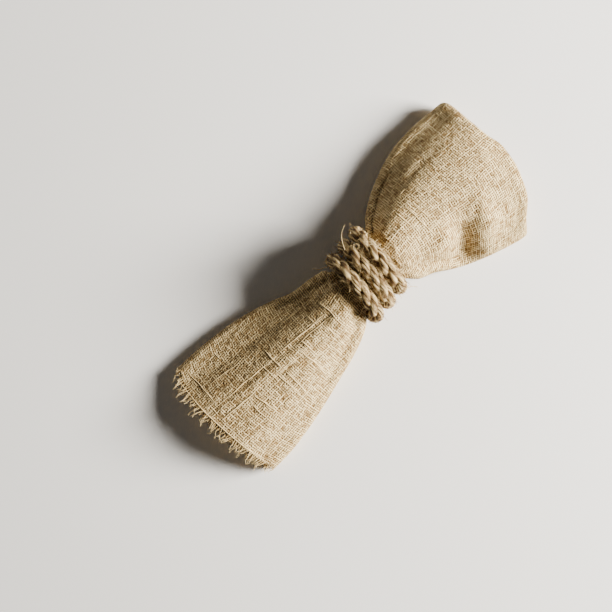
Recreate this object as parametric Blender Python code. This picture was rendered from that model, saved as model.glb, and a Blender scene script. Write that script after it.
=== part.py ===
# A cloth napkin with frayed edges, folded in half and then over and over into a flat roll,
# and drawn through a ring of coiled rope so that both ends fan out.
#
# The frame: origin on the resting surface under the middle of the part, +X along the napkin
# towards the folded end, +Y across it, +Z up. Sizes are in metres.
import math
from typing import NamedTuple

import bpy
import numpy as np

MM = 0.001

# The ring of rope, wound round the napkin's waist. A squareness of 2 would be an ellipse.
RING_MIDDLE = 12.2 * MM
RING_WIDTH = 51 * MM
RING_HEIGHT = 42 * MM
RING_SQUARENESS = 2.4
# each turn lies a little further to the left than the one before
RING_LEAN = 0.15
RING_LEAN_FROM = 2.3 * MM
ROPE_DIAMETER = 9.4 * MM
ROPE_STRANDS = 3
STRAND_DIAMETER = 5.1 * MM
STRAND_LAY = 26 * MM
ROPE_STEP = 2.5 * MM

# The cloth. Each layer of the roll is the two plies of the half fold, lying together.
LAYER_THICKNESS = 1.2 * MM
NEAR_REACH = 127.4 * MM
FAR_REACH = 112.2 * MM

# The frayed edge: a narrow heading of cloth, and the threads that stand out of it.
HEADING_DEPTH = 1.6 * MM
HEADING_CLEARANCE = 0.55 * MM
THREAD_LENGTH = 6.6 * MM
THREAD_WIDTH = 0.55 * MM
THREAD_PITCH = 1.9 * MM
HIDDEN_THREAD_PITCH = 6.5 * MM
THREAD_DROOP = 0.16
THREAD_SPREAD = math.radians(17)


class Section(NamedTuple):
    """The napkin's outline and heights at one place along its length, in millimetres."""

    along: float
    left: float
    right: float
    top: float
    base: float
    left_side: float
    right_side: float
    left_shoulder: float
    right_shoulder: float


# left and right are the sides seen from above, top the middle's height, base the underside's,
# left_side and right_side the heights where the side folds begin. A shoulder is the power of
# the slope between: 2 is an even arch, 8 a flat top with a steep edge.
SECTIONS = (
    Section(-117, 35.0, -50.0, 18.0, 0.0, 11.0, 11.0, 2.0, 2.0),
    Section(-97, 35.5, -49.0, 20.0, 0.0, 11.2, 11.2, 2.0, 2.0),
    Section(-76, 34.4, -45.2, 22.5, 0.0, 11.8, 12.0, 2.0, 2.0),
    Section(-56, 31.4, -39.8, 25.2, 0.0, 13.0, 13.0, 2.1, 2.0),
    Section(-40, 27.0, -34.8, 27.5, 0.4, 15.0, 14.5, 2.3, 2.1),
    Section(-28, 23.0, -31.0, 29.5, 2.2, 18.5, 17.5, 2.6, 2.5),
    Section(-16, 21.9, -26.0, 32.5, 5.6, 24.0, 22.0, 3.0, 3.0),
    Section(-9.4, 20.8, -22.0, 33.8, 8.2, 27.0, 26.0, 2.5, 2.5),
    Section(-7.2, 20.3, -20.0, 33.2, 9.6, 27.4, 26.8, 2.3, 2.3),
    Section(-4.4, 17.0, -15.6, 32.2, 10.5, 27.4, 27.2, 2.2, 2.2),
    Section(0, 15.0, -15.6, 31.6, 10.8, 27.2, 27.2, 2.0, 2.0),
    Section(22, 18.2, -12.6, 31.6, 10.8, 27.2, 27.2, 2.0, 2.0),
    Section(26.3, 19.4, -14.6, 32.2, 10.6, 27.4, 27.2, 2.2, 2.2),
    Section(30, 22.4, -18.6, 33.4, 10.0, 27.0, 26.4, 2.3, 2.2),
    Section(34.5, 27.4, -22.4, 34.3, 8.2, 24.5, 24.0, 2.4, 2.4),
    Section(43, 33.8, -25.2, 34.5, 4.2, 19.5, 19.0, 2.4, 2.3),
    Section(54, 39.9, -31.3, 33.5, 0.6, 16.0, 15.0, 2.2, 2.3),
    Section(66, 45.0, -36.6, 32.0, 0.0, 15.0, 13.5, 2.1, 2.2),
    Section(80, 48.6, -41.3, 30.5, 0.0, 14.5, 13.5, 2.0, 2.2),
    Section(98, 49.8, -45.0, 29.0, 0.0, 14.5, 14.5, 2.0, 2.2),
    Section(112, 48.8, -44.5, 26.5, 0.0, 14.5, 15.0, 2.2, 2.4),
    Section(124, 47.0, -42.0, 20.0, 0.0, 14.0, 14.0, 2.4, 2.5),
)


class Edge(NamedTuple):
    """How far an end reaches at one place across it: -1 is the right side, 1 the left."""

    across: float
    share: float


NEAR_EDGE = (
    Edge(-1.0, 0.930),
    Edge(-0.7, 0.962),
    Edge(-0.3, 0.985),
    Edge(0.2, 1.0),
    Edge(0.6, 0.996),
    Edge(1.0, 0.950),
)
FAR_EDGE = (
    Edge(-1.0, 0.797),
    Edge(-0.88, 0.838),
    Edge(-0.65, 0.927),
    Edge(-0.45, 0.962),
    Edge(-0.2, 0.992),
    Edge(0.0, 1.0),
    Edge(0.3, 0.974),
    Edge(0.7, 0.956),
    Edge(0.93, 0.949),
    Edge(1.0, 0.930),
)
# the part of the width that lies between the lines that the side folds turn about
BETWEEN_FOLDS = 0.86


class Crease(NamedTuple):
    """A soft trough pressed into the top along a line, in millimetres. A negative depth raises."""

    x_from: float
    y_from: float
    x_to: float
    y_to: float
    width: float
    depth_from: float
    depth_to: float


CREASES = (
    # the pocket beside the folded end, and the bulge that it is tucked behind
    Crease(44, -23.0, 59, -23.5, 5.0, 0.3, 4.0),
    Crease(59, -23.5, 67, -22.5, 6.5, 4.0, 8.0),
    Crease(67, -22.5, 72, -17.5, 7.5, 8.0, 7.8),
    Crease(72, -17.5, 77, -10.0, 7.5, 7.8, 1.2),
    Crease(46, -13.0, 63, -14.5, 7.0, -1.0, -2.6),
    Crease(89, -12.0, 85, -25.0, 7.0, -1.6, -3.4),
    Crease(85, -25.0, 75, -33.0, 6.0, -3.4, -1.0),
    # the two low rolls along the left side of the folded end
    Crease(33, 19.5, 66, 32.0, 4.0, 1.6, 0.8),
    Crease(44, 28.5, 84, 41.0, 3.5, 1.4, 0.8),
    # the crease above the roll on the left side of the frayed end
    Crease(-72, 25.0, -46, 19.5, 4.5, 0.6, 2.4),
    Crease(-46, 19.5, -29, 20.5, 4.0, 2.4, 1.4),
)


class Knot(NamedTuple):
    """Where the rope has got to along the napkin, in millimetres, after so many turns. It starts
    at the underside and goes round by the right side, the top and the left side."""

    turns: float
    along: float


ROPE_KNOTS = (
    Knot(0.0, -3.6),
    Knot(0.25, -0.4),
    Knot(0.5, 2.3),
    Knot(0.75, 1.9),
    Knot(1.0, 6.3),
    Knot(1.25, 10.5),
    Knot(1.5, 12.6),
    Knot(1.75, 12.9),
    Knot(2.0, 17.1),
    Knot(2.25, 21.4),
    Knot(2.5, 22.6),
    Knot(2.75, 23.0),
    Knot(3.0, 27.4),
)
ROPE_END_SETBACK = 0.04


class Lap(NamedTuple):
    """One crossing of the roll: its level from the bottom, where it runs from and to, and how
    far its folded end lies back inside the outer laps, in millimetres."""

    level: int
    start: float
    end: float
    tuck: float


LAPS = (
    Lap(3, 0.8, -1.0, 5.0),
    Lap(2, -1.0, 1.0, 5.0),
    Lap(4, 1.0, -1.0, 2.5),
    Lap(1, -1.0, 1.0, 2.5),
    Lap(5, 1.0, -1.0, 0.0),
    Lap(0, -1.0, 0.6, 0.0),
)
TOP_LEVEL = 5
RIGHT_FOLD_LEVEL = 2.5
LEFT_FOLD_LEVEL = 3.0

# Where the mesh is cut: across each lap, round each fold, and along the napkin, as shares of
# the reach on each side of the ring's middle.
LAP_CUTS = (-1.0, -0.88, -0.75, -0.6, -0.4, -0.15, 0.12, 0.38, 0.6, 0.8, 1.0)
FOLD_STEPS = 5
NEAR_CUTS = (1.0, 0.84, 0.68, 0.53, 0.41, 0.31, 0.23, 0.17, 0.152, 0.131, 0.1, 0.05)
FAR_CUTS = (
    (0.08, 0.125, 0.158, 0.182, 0.215, 0.255, 0.3, 0.355, 0.41, 0.465, 0.52, 0.58)
    + (0.66, 0.75, 0.85, 0.935, 0.985, 1.0)
)


def spline(rows, column, at):
    """The value of a table's column between its rows, smooth and without overshoot."""
    xs = [row[0] for row in rows]
    ys = [getattr(row, column) for row in rows]
    if at <= xs[0]:
        return ys[0]
    if at >= xs[-1]:
        return ys[-1]
    rises = [(ys[i + 1] - ys[i]) / (xs[i + 1] - xs[i]) for i in range(len(xs) - 1)]
    slopes = [rises[0]]
    for before, after in zip(rises, rises[1:]):
        slopes.append(0.0 if before * after <= 0 else 2 * before * after / (before + after))
    slopes.append(rises[-1])
    i = max(k for k in range(len(xs) - 1) if xs[k] <= at)
    run = xs[i + 1] - xs[i]
    t = (at - xs[i]) / run
    return (
        (1 + 2 * t) * (1 - t) ** 2 * ys[i]
        + t * (1 - t) ** 2 * run * slopes[i]
        + t * t * (3 - 2 * t) * ys[i + 1]
        - t * t * (1 - t) * run * slopes[i + 1]
    )


def size_at(x, column):
    """A section's size in metres, at x in metres."""
    return spline(SECTIONS, column, x / MM) * MM


def shoulder_at(x, side):
    return spline(SECTIONS, side + "_shoulder", x / MM)


def along(station, across, tuck):
    """x of a point of the cloth: its station, moved by the curve of the end that it leads to."""
    if station < 0:
        return RING_MIDDLE + station * NEAR_REACH * spline(NEAR_EDGE, "share", across)
    end = FAR_REACH * spline(FAR_EDGE, "share", across) - tuck * MM
    return RING_MIDDLE + station * end


def layer_step(x, side):
    """The distance between layers at a side, in height and, round its folds, across."""
    return (size_at(x, side + "_side") - size_at(x, "base") - LAYER_THICKNESS) / TOP_LEVEL


def fold_centre(x, side):
    """y of the line that the folds of one side turn about."""
    if side == "right":
        inset = RIGHT_FOLD_LEVEL * layer_step(x, side) + LAYER_THICKNESS / 2
        return size_at(x, "right") + inset
    inset = (TOP_LEVEL - LEFT_FOLD_LEVEL) * layer_step(x, side) + LAYER_THICKNESS / 2
    return size_at(x, "left") - inset


def crease_depth(x, y):
    """How far the creases press the top down at a point: the deepest counts, less the highest."""
    depths = [0.0]
    for crease in CREASES:
        start = np.array([crease.x_from, crease.y_from]) * MM
        run = np.array([crease.x_to, crease.y_to]) * MM - start
        share = float(np.clip(np.dot(np.array([x, y]) - start, run) / np.dot(run, run), 0, 1))
        away = np.linalg.norm(np.array([x, y]) - start - share * run) / (crease.width * MM)
        depth = crease.depth_from + share * (crease.depth_to - crease.depth_from)
        depths.append(depth * MM * math.exp(-away * away))
    return max(depths) + min(depths)


def top_height(x, y):
    """The height of the napkin's upper face."""
    right, left = fold_centre(x, "right"), fold_centre(x, "left")
    across = 2 * (y - right) / (left - right) - 1
    side = "left" if across > 0 else "right"
    arch = 1 - min(abs(across), 1.0) ** shoulder_at(x, side)
    side_height = size_at(x, side + "_side")
    return side_height + (size_at(x, "top") - side_height) * arch - crease_depth(x, y)


def layer_height(x, y, level):
    """The height of a layer's middle surface."""
    base = size_at(x, "base")
    room = top_height(x, y) - base - LAYER_THICKNESS
    return base + LAYER_THICKNESS / 2 + room * level / TOP_LEVEL


def lap_point(station, across, level, tuck):
    x = along(station, across * BETWEEN_FOLDS, tuck)
    right, left = fold_centre(x, "right"), fold_centre(x, "left")
    y = right + (across + 1) / 2 * (left - right)
    return (x, y, layer_height(x, y, level))


def fold_point(station, side, start, end, turned, tuck):
    """A point of the half-round fold that joins two levels at a side, turned from 0 to 1."""
    outward = -1 if side == "right" else 1
    bulge = abs(end - start) * math.sin(math.pi * turned)
    across = BETWEEN_FOLDS + (1 - BETWEEN_FOLDS) * bulge / TOP_LEVEL
    x = along(station, outward * across, tuck)
    y = fold_centre(x, side)
    heights = [layer_height(x, y, level) for level in (start, end)]
    middle = (heights[0] + heights[1]) / 2
    reach = bulge / 2 * layer_step(x, side)
    return (x, y + outward * reach, middle + (heights[0] - middle) * math.cos(math.pi * turned))


def roll_path(station):
    """The layers' middle line at one station, from the inner free edge to the outer one, and for
    each point the lap that it is on: half numbers are the folds between two laps."""
    points, laps = [], []
    for number, lap in enumerate(LAPS):
        low, high = sorted((lap.start, lap.end))
        cuts = [cut for cut in LAP_CUTS if low <= cut <= high]
        if lap.start > lap.end:
            cuts.reverse()
        points += [lap_point(station, cut, lap.level, lap.tuck) for cut in cuts]
        laps += [float(number)] * len(cuts)
        if number == len(LAPS) - 1:
            break
        after = LAPS[number + 1]
        side = "right" if lap.end < 0 else "left"
        for step in range(1, FOLD_STEPS):
            turned = step / FOLD_STEPS
            tuck = lap.tuck + (after.tuck - lap.tuck) * turned
            points.append(fold_point(station, side, lap.level, after.level, turned, tuck))
            laps.append(number + 0.5)
    return np.array(points), np.array(laps)


def facing(grid):
    """Unit normals of a grid of points."""
    lengthwise = np.gradient(grid, axis=0)
    crosswise = np.gradient(grid, axis=1)
    normals = np.cross(lengthwise, crosswise)
    return normals / np.linalg.norm(normals, axis=2, keepdims=True)


class Solid:
    """The points and faces of one closed solid."""

    def __init__(self):
        self.points = []
        self.faces = []

    def add(self, points):
        """Adds points, and gives their numbers."""
        first = len(self.points)
        self.points += [tuple(point) for point in points]
        return list(range(first, len(self.points)))

    def bridge(self, ring, following):
        """Faces between two rings of the same count, seen from outside as running left."""
        for i, corner in enumerate(ring):
            after = (i + 1) % len(ring)
            self.faces.append([corner, ring[after], following[after], following[i]])

    def point_off(self, ring, tip):
        """Closes a ring with faces that meet in a point."""
        (top,) = self.add([tip])
        for i, corner in enumerate(ring):
            self.faces.append([corner, ring[(i + 1) % len(ring)], top])

    def mesh(self, name):
        made = bpy.data.meshes.new(name)
        made.from_pydata(self.points, [], self.faces)
        return made


def add_sheet(solid, grid, half_thickness, gaps=()):
    """A sheet with a grid of points as its middle surface. The front faces of the columns that
    gaps names stay open, and their corners are given back."""
    rows, columns = grid.shape[:2]
    offset = facing(grid) * half_thickness
    upper = np.array(solid.add((grid + offset).reshape(-1, 3))).reshape(rows, columns)
    lower = np.array(solid.add((grid - offset).reshape(-1, 3))).reshape(rows, columns)
    for row in range(rows - 1):
        for column in range(columns - 1):
            here = slice(row, row + 2), slice(column, column + 2)
            (a, b), (c, d) = upper[here]
            solid.faces.append([a, c, d, b])
            (a, b), (c, d) = lower[here]
            solid.faces.append([a, b, d, c])
    for column in range(columns - 1):
        if column not in gaps:
            solid.faces.append(front_corners(upper, lower, column))
        after = column + 1
        solid.faces.append([upper[-1, after], upper[-1, column], lower[-1, column], lower[-1, after]])
    for row in range(rows - 1):
        after = row + 1
        solid.faces.append([upper[after, 0], upper[row, 0], lower[row, 0], lower[after, 0]])
        solid.faces.append([upper[row, -1], upper[after, -1], lower[after, -1], lower[row, -1]])
    return {column: front_corners(upper, lower, column) for column in gaps}


def front_corners(upper, lower, column):
    after = column + 1
    return [upper[0, column], upper[0, after], lower[0, after], lower[0, column]]


def napkin_solid():
    stations = [-cut for cut in NEAR_CUTS] + list(FAR_CUTS)
    grid = np.array([roll_path(station)[0] for station in stations])
    half_thickness = np.full((len(stations), 1, 1), LAYER_THICKNESS / 2)
    half_thickness[-1] /= 2
    solid = Solid()
    add_sheet(solid, grid, half_thickness)
    return solid


def length_along(points):
    steps = np.linalg.norm(np.diff(points, axis=0), axis=1)
    return np.concatenate([[0.0], np.cumsum(steps)])


def on_line(points, lengths, at):
    """The points of a line at lengths along it."""
    return np.stack([np.interp(at, lengths, points[:, axis]) for axis in range(3)], axis=-1)


def thread_places(lengths, laps):
    """Where the fringe's threads stand along the heading: close together where they show."""
    places = []
    at = THREAD_PITCH / 2
    while at < lengths[-1] - THREAD_PITCH / 2:
        places.append(at)
        lap = laps[np.searchsorted(lengths, at)]
        at += THREAD_PITCH if 3 < lap < 5 else HIDDEN_THREAD_PITCH
    return np.array(places)


def fringe_solid():
    """The heading along the frayed end, with its threads drawn out of its front face."""
    back_station = -(1 + HEADING_CLEARANCE / NEAR_REACH)
    front_station = back_station - HEADING_DEPTH / NEAR_REACH
    front, laps = roll_path(front_station)
    back, _ = roll_path(back_station)
    lengths = length_along(front)
    places = thread_places(lengths, laps)
    clear = [at for at in lengths if np.abs(places - at).min() > THREAD_WIDTH]
    cuts = np.sort(np.concatenate([places - THREAD_WIDTH / 2, places + THREAD_WIDTH / 2, clear]))
    columns = np.interp(cuts, lengths, np.arange(len(front)))
    grid = np.array([on_line(line, np.arange(len(front)), columns) for line in (front, back)])
    gaps = [int(np.searchsorted(cuts, at)) - 1 for at in places]
    solid = Solid()
    roots = add_sheet(solid, grid, LAYER_THICKNESS / 2, gaps)
    chance = np.random.default_rng(7)
    for at, gap in zip(places, gaps):
        root = np.array([solid.points[corner] for corner in roots[gap]])
        outward = grid[0, gap] - grid[1, gap]
        add_thread(solid, roots[gap], root, outward / np.linalg.norm(outward), at, chance)
    return solid


def add_thread(solid, ring, root, outward, at, chance):
    """A thread that leans sideways in a slow wave along the heading, and droops to its tip."""
    middle = root.mean(axis=0)
    sideways = root[1] - root[0]
    sideways /= np.linalg.norm(sideways)
    wave = 0.6 * math.sin(math.tau * at / (37 * MM)) + 0.4 * math.sin(math.tau * at / (21 * MM) + 1)
    lean = THREAD_SPREAD * wave + math.radians(chance.uniform(-2, 2))
    length = THREAD_LENGTH * chance.uniform(0.8, 1.1)
    droop = np.array([0, 0, -THREAD_DROOP * (middle[2] - LAYER_THICKNESS / 2)])
    run = outward * math.cos(lean) + sideways * math.sin(lean)
    slimmer = THREAD_WIDTH * 0.9 / np.linalg.norm(root - middle, axis=1).max() / 2
    waist = middle + run * length * 0.45 + droop * 0.3 + (root - middle) * slimmer
    following = solid.add(waist)
    solid.bridge(ring, following)
    solid.point_off(following, middle + run * length + droop)


def lean_at(x):
    """How far to the left the ring's middle lies at one place along the napkin."""
    return RING_LEAN * (x - RING_LEAN_FROM)


def ring_point(turns):
    """The rope's centre line after so many turns."""
    angle = -math.tau * (turns + 0.25)
    across, up = math.cos(angle), math.sin(angle)
    power = 2 / RING_SQUARENESS
    half_width = (RING_WIDTH - ROPE_DIAMETER) / 2
    half_height = (RING_HEIGHT - ROPE_DIAMETER) / 2
    x = spline(ROPE_KNOTS, "along", turns) * MM
    return (
        x,
        half_width * math.copysign(abs(across) ** power, across) + lean_at(x),
        RING_HEIGHT / 2 + half_height * math.copysign(abs(up) ** power, up),
    )


def rope_section(twist):
    """The outline of the strands laid together, as distances and angles about the rope's centre."""
    offset = (ROPE_DIAMETER - STRAND_DIAMETER) / 2
    outline = []
    for strand in range(ROPE_STRANDS):
        for degrees in (-32, 0, 32, 60):
            angle = math.radians(degrees)
            beside = offset * math.sin(angle)
            away = offset * math.cos(angle) + math.sqrt(STRAND_DIAMETER**2 / 4 - beside**2)
            outline.append((away, twist + angle + math.tau * strand / ROPE_STRANDS))
    return outline


def rope_solid():
    ends = ROPE_END_SETBACK, ROPE_KNOTS[-1].turns - ROPE_END_SETBACK
    fine = np.array([ring_point(turns) for turns in np.linspace(*ends, 1500)])
    lengths = length_along(fine)
    steps = np.linspace(0, lengths[-1], round(lengths[-1] / ROPE_STEP) + 1)
    line = on_line(fine, lengths, steps)
    forward = np.gradient(line, axis=0)
    forward /= np.linalg.norm(forward, axis=1, keepdims=True)
    solid = Solid()
    rings = []
    for point, ahead, at in zip(line, forward, steps):
        outward = np.array([0.0, point[1] - lean_at(point[0]), point[2] - RING_HEIGHT / 2])
        outward -= ahead * np.dot(outward, ahead)
        outward /= np.linalg.norm(outward)
        beside = np.cross(ahead, outward)
        section = [
            point + away * (math.cos(angle) * outward + math.sin(angle) * beside)
            for away, angle in rope_section(math.tau * at / STRAND_LAY)
        ]
        rings.append(solid.add(section))
    for ring, following in zip(rings, rings[1:]):
        solid.bridge(ring, following)
    solid.point_off(rings[-1], line[-1])
    solid.point_off(rings[0][::-1], line[0])
    return solid


def material(name, colour, roughness):
    made = bpy.data.materials.new(name)
    made.use_nodes = True
    shader = made.node_tree.nodes["Principled BSDF"]
    shader.inputs["Base Color"].default_value = (*colour, 1.0)
    shader.inputs["Roughness"].default_value = roughness
    shader.inputs["Metallic"].default_value = 0.0
    return made


def place(name, solid, surface):
    """An object that shows a solid."""
    mesh = solid.mesh(name)
    mesh.materials.append(surface)
    bpy.context.scene.collection.objects.link(bpy.data.objects.new(name, mesh))


def main():
    for old in list(bpy.data.objects):
        bpy.data.objects.remove(old)
    cloth = material("cloth", (0.62, 0.49, 0.31), 0.9)
    rope = material("rope", (0.47, 0.36, 0.23), 0.85)
    place("napkin", napkin_solid(), cloth)
    place("fringe", fringe_solid(), cloth)
    place("rope_ring", rope_solid(), rope)


main()
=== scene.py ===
# A cloth napkin with frayed edges, rolled flat and drawn through a ring of coiled rope.
# Lengths in the dictionaries are millimetres, unless a note says metres:
# x along the napkin, y across it, z up.
import math
import random

import bpy
import numpy as np
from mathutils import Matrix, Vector, noise


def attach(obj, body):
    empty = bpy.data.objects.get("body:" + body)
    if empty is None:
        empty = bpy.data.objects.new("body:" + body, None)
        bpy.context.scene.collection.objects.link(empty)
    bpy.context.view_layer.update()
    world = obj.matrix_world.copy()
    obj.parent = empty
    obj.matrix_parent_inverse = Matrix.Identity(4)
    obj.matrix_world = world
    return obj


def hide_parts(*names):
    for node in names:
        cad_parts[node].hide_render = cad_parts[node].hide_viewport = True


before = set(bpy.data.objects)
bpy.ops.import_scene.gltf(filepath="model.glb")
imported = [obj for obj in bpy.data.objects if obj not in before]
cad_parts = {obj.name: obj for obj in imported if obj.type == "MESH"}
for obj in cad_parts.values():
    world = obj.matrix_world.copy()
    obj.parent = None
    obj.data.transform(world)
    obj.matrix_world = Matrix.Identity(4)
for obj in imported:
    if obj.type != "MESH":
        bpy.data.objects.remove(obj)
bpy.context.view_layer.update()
mm = 0.001  # in metres
metre = 1000  # in millimetres
print("frame loaded")


# Node helpers

class Value:
    def __init__(self, nodes, socket):
        self.nodes = nodes
        self.socket = socket

    def math(self, operation, *values):
        return self.nodes.node("ShaderNodeMath", {"operation": operation}, dict(enumerate(values)))

    def __add__(self, other):
        return self.math("ADD", self, other)

    def __radd__(self, other):
        return self.math("ADD", other, self)

    def __sub__(self, other):
        return self.math("SUBTRACT", self, other)

    def __rsub__(self, other):
        return self.math("SUBTRACT", other, self)

    def __mul__(self, other):
        return self.math("MULTIPLY", self, other)

    def __rmul__(self, other):
        return self.math("MULTIPLY", other, self)

    def __truediv__(self, other):
        return self.math("DIVIDE", self, other)

    def __pow__(self, other):
        return self.math("POWER", self, other)

    def cos(self):
        return self.math("COSINE", self)

    def sin(self):
        return self.math("SINE", self)

    def other(self, name):
        return Value(self.nodes, self.socket.node.outputs[name])


class Nodes:
    def __init__(self, tree):
        self.tree = tree

    def node(self, kind, settings=None, inputs=None, output=0):
        made = self.tree.nodes.new(kind)
        for key, value in (settings or {}).items():
            setattr(made, key, value)
        for key, value in (inputs or {}).items():
            self.put(made.inputs[key], value)
        return Value(self, made.outputs[output])

    def put(self, socket, value):
        if isinstance(value, Value):
            self.tree.links.new(value.socket, socket)
        else:
            socket.default_value = value

    def vector(self, x, y, z=0.0):
        return self.node("ShaderNodeCombineXYZ", {}, {0: x, 1: y, 2: z})

    def vectorMath(self, operation, first, second):
        return self.node("ShaderNodeVectorMath", {"operation": operation}, {0: first, 1: second})

    def scaled(self, vector, amount):
        inputs = {0: vector, "Scale": amount}
        return self.node("ShaderNodeVectorMath", {"operation": "SCALE"}, inputs)

    def noise(self, vector, scale=1.0, detail=2.0):
        inputs = {"Vector": vector, "Scale": scale, "Detail": detail}
        return self.node("ShaderNodeTexNoise", {}, inputs)

    def mix(self, factor, first, second):
        inputs = {0: factor, 6: first, 7: second}  # 6 and 7 are the two colours
        return self.node("ShaderNodeMix", {"data_type": "RGBA"}, inputs, 2)

    def step(self, value, low, high):
        inputs = {"Value": value, "From Min": low, "From Max": high}
        return self.node("ShaderNodeMapRange", {"interpolation_type": "SMOOTHSTEP"}, inputs)

    def attribute(self, name):
        return self.node("ShaderNodeAttribute", {"attribute_name": name}, output="Fac")

    def named(self, name, kind="FLOAT"):
        return self.node("GeometryNodeInputNamedAttribute", {"data_type": kind}, {"Name": name})

    def stored(self, geometry, name, value):
        settings = {"data_type": "FLOAT", "domain": "POINT"}
        inputs = {0: geometry, "Name": name, "Value": value}
        return self.node("GeometryNodeStoreNamedAttribute", settings, inputs)


def newMaterial(name, roughness):
    made = bpy.data.materials.new(name)
    made.use_nodes = True
    nodes = Nodes(made.node_tree)
    surface = made.node_tree.nodes["Principled BSDF"]
    surface.inputs["Roughness"].default_value = roughness
    surface.inputs["Specular IOR Level"].default_value = 0.25
    return made, nodes, surface


# Curves, tables and lines

def smoothCurve(xs, ys):
    xs, ys = np.array(xs, float), np.array(ys, float)
    rises = np.diff(ys) / np.diff(xs)
    before, after = rises[:-1], rises[1:]
    same = before * after > 0
    middle = np.where(same, 2 * before * after / np.where(same, before + after, 1), 0)
    slopes = np.concatenate([rises[:1], middle, rises[-1:]])

    def at(x):
        x = np.clip(x, xs[0], xs[-1])
        i = np.clip(np.searchsorted(xs, x, side="right") - 1, 0, len(xs) - 2)
        run = xs[i + 1] - xs[i]
        t = (x - xs[i]) / run
        rise = (1 + 2 * t) * (1 - t) ** 2 * ys[i] + t * t * (3 - 2 * t) * ys[i + 1]
        return rise + run * (t * (1 - t) ** 2 * slopes[i] - t * t * (1 - t) * slopes[i + 1])

    return at


def tableCurves(columns, rows):
    first = [row[0] for row in rows]
    return {name: smoothCurve(first, [row[n] for row in rows]) for n, name in enumerate(columns)}


def smooth(t):
    t = np.clip(t, 0, 1)
    return t * t * (3 - 2 * t)


def unit(vectors):
    return vectors / np.linalg.norm(vectors, axis=-1, keepdims=True)


def lengthsAlong(points):
    return np.concatenate([[0], np.cumsum(np.linalg.norm(np.diff(points, axis=0), axis=1))])


def pointAt(place, lengths, points):
    return np.stack([np.interp(place, lengths, points[:, axis]) for axis in range(3)], -1)


# The napkin

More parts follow.
